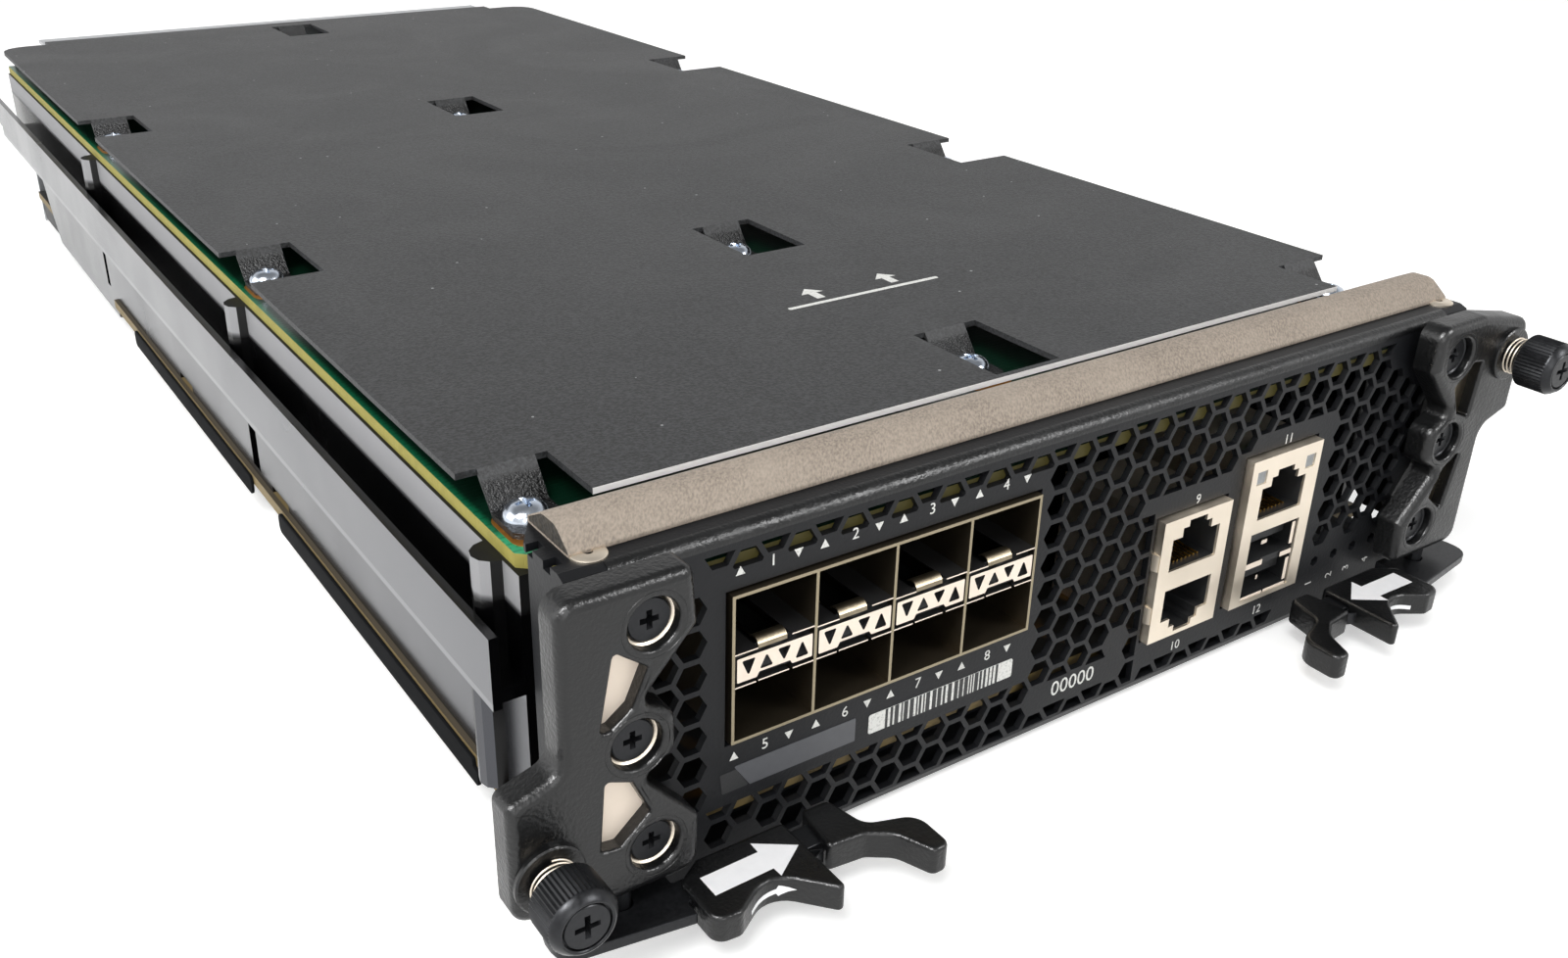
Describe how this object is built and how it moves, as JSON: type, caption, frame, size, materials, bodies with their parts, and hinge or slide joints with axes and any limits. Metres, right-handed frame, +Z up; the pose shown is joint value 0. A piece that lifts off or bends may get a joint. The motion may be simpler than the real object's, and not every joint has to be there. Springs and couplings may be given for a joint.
{
  "type": "ethernet port blade",
  "caption": "Half-width network blade with a honeycomb front panel, stacked transceiver and network sockets, captive thumbscrews and squeeze-grip ejector levers.",
  "frame": {"origin": "middle of the bounding box's bottom", "axes": "+X right seen from the front, front panel faces -Y, +Z up"},
  "size_m": [0.2132, 0.4448, 0.0611],
  "materials": {
    "textured_black_steel": "fine texture",
    "black_anodised_aluminium": "glossy black anodised",
    "black_casting": "satin black",
    "gasket_cloth": "woven conductive cloth",
    "green_board": "solder mask",
    "brown_board": "bare laminate edge",
    "bright_plating": "bright plated sheet",
    "bright_steel": "zinc plated",
    "black_plastic": "moulded",
    "gold_contacts": "gold plated",
    "lamp_lens": "diffusing lens",
    "bare_aluminium": "extruded"
  },
  "bodies": {
    "chassis": {"backplane_connectors": "black_plastic", "board_spacers": "bright_steel", "bottom_cover": "textured_black_steel", "cage_connectors": "black_plastic", "cage_dividers": "bright_plating", "cage_latches": "bright_plating", "cage_separators": "bright_plating", "combo_jack_insert": "black_plastic", "combo_jack_lamps": "lamp_lens", "combo_jack_shield": "bright_plating", "combo_jack_tongues": "black_plastic", "front_panel": "textured_black_steel", "guide_sockets": "bright_steel", "jack_contacts": "gold_contacts", "left_backing_plate": "bright_steel", "left_bracket": "black_casting", "left_rail": "black_anodised_aluminium", "left_screw_spring": "bright_steel", "lever_pins": "bright_steel", "main_board": "brown_board", "memory_modules": "green_board", "power_connector": "black_plastic", "processor_heat_sink": "bare_aluminium", "rear_plate": "bright_steel", "right_backing_plate": "bright_steel", "right_bracket": "black_casting", "right_rail": "black_anodised_aluminium", "right_screw_spring": "bright_steel", "screw_ferrules": "black_casting", "shielding_gasket": "gasket_cloth", "status_lamps": "lamp_lens", "switch_heat_sink": "bare_aluminium", "top_cover": "textured_black_steel", "transceiver_cage": "bright_plating", "twin_jack_insert": "black_plastic", "twin_jack_shield": "bright_plating", "upper_board": "green_board"},
    "left_screw_carrier": {"left_retaining_clip": "bright_steel"},
    "right_screw_carrier": {"right_retaining_clip": "bright_steel"},
    "left_screw_body": {"left_thumbscrew": "black_casting"},
    "right_screw_body": {"right_thumbscrew": "black_casting"},
    "left_lever": {"left_lever_bar": "black_casting", "left_lever_hook": "black_plastic", "left_grip_spring": "bright_steel"},
    "right_lever": {"right_lever_bar": "black_casting", "right_lever_hook": "black_plastic", "right_grip_spring": "bright_steel"},
    "left_grip": {"left_lever_grip": "black_plastic"},
    "right_grip": {"right_lever_grip": "black_plastic"}
  },
  "joints": [
    {"name": "left_screw_press", "type": "slide", "parent": "chassis", "child": "left_screw_carrier", "axis": [0, 1, 0], "range_m": [0, 0.0014], "stiffness_N_per_m": 2500, "deforming": ["left_screw_spring"]},
    {"name": "left_screw_turn", "type": "hinge", "parent": "left_screw_carrier", "child": "left_screw_body", "pos_m": [-0.1015, -0.2086, 0.0192], "axis": [0, 1, 0], "continuous": true},
    {"name": "left_lever_swing", "type": "hinge", "parent": "chassis", "child": "left_lever", "pos_m": [-0.09, -0.2061, 0.0065], "axis": [0, 0, 1], "range_deg": [-50, 0]},
    {"name": "left_grip_squeeze", "type": "slide", "parent": "left_lever", "child": "left_grip", "axis": [1, 0, 0], "range_m": [0, 0.002], "stiffness_N_per_m": 1500, "deforming": ["left_grip_spring"]},
    {"name": "right_screw_press", "type": "slide", "parent": "chassis", "child": "right_screw_carrier", "axis": [0, 1, 0], "range_m": [0, 0.0014], "stiffness_N_per_m": 2500, "deforming": ["right_screw_spring"]},
    {"name": "right_screw_turn", "type": "hinge", "parent": "right_screw_carrier", "child": "right_screw_body", "pos_m": [0.1015, -0.2086, 0.0494], "axis": [0, 1, 0], "continuous": true},
    {"name": "right_lever_swing", "type": "hinge", "parent": "chassis", "child": "right_lever", "pos_m": [0.09, -0.2061, 0.0065], "axis": [0, 0, 1], "range_deg": [0, 50]},
    {"name": "right_grip_squeeze", "type": "slide", "parent": "right_lever", "child": "right_grip", "axis": [-1, 0, 0], "range_m": [0, 0.002], "stiffness_N_per_m": 1500, "deforming": ["right_grip_spring"]}
  ]
}
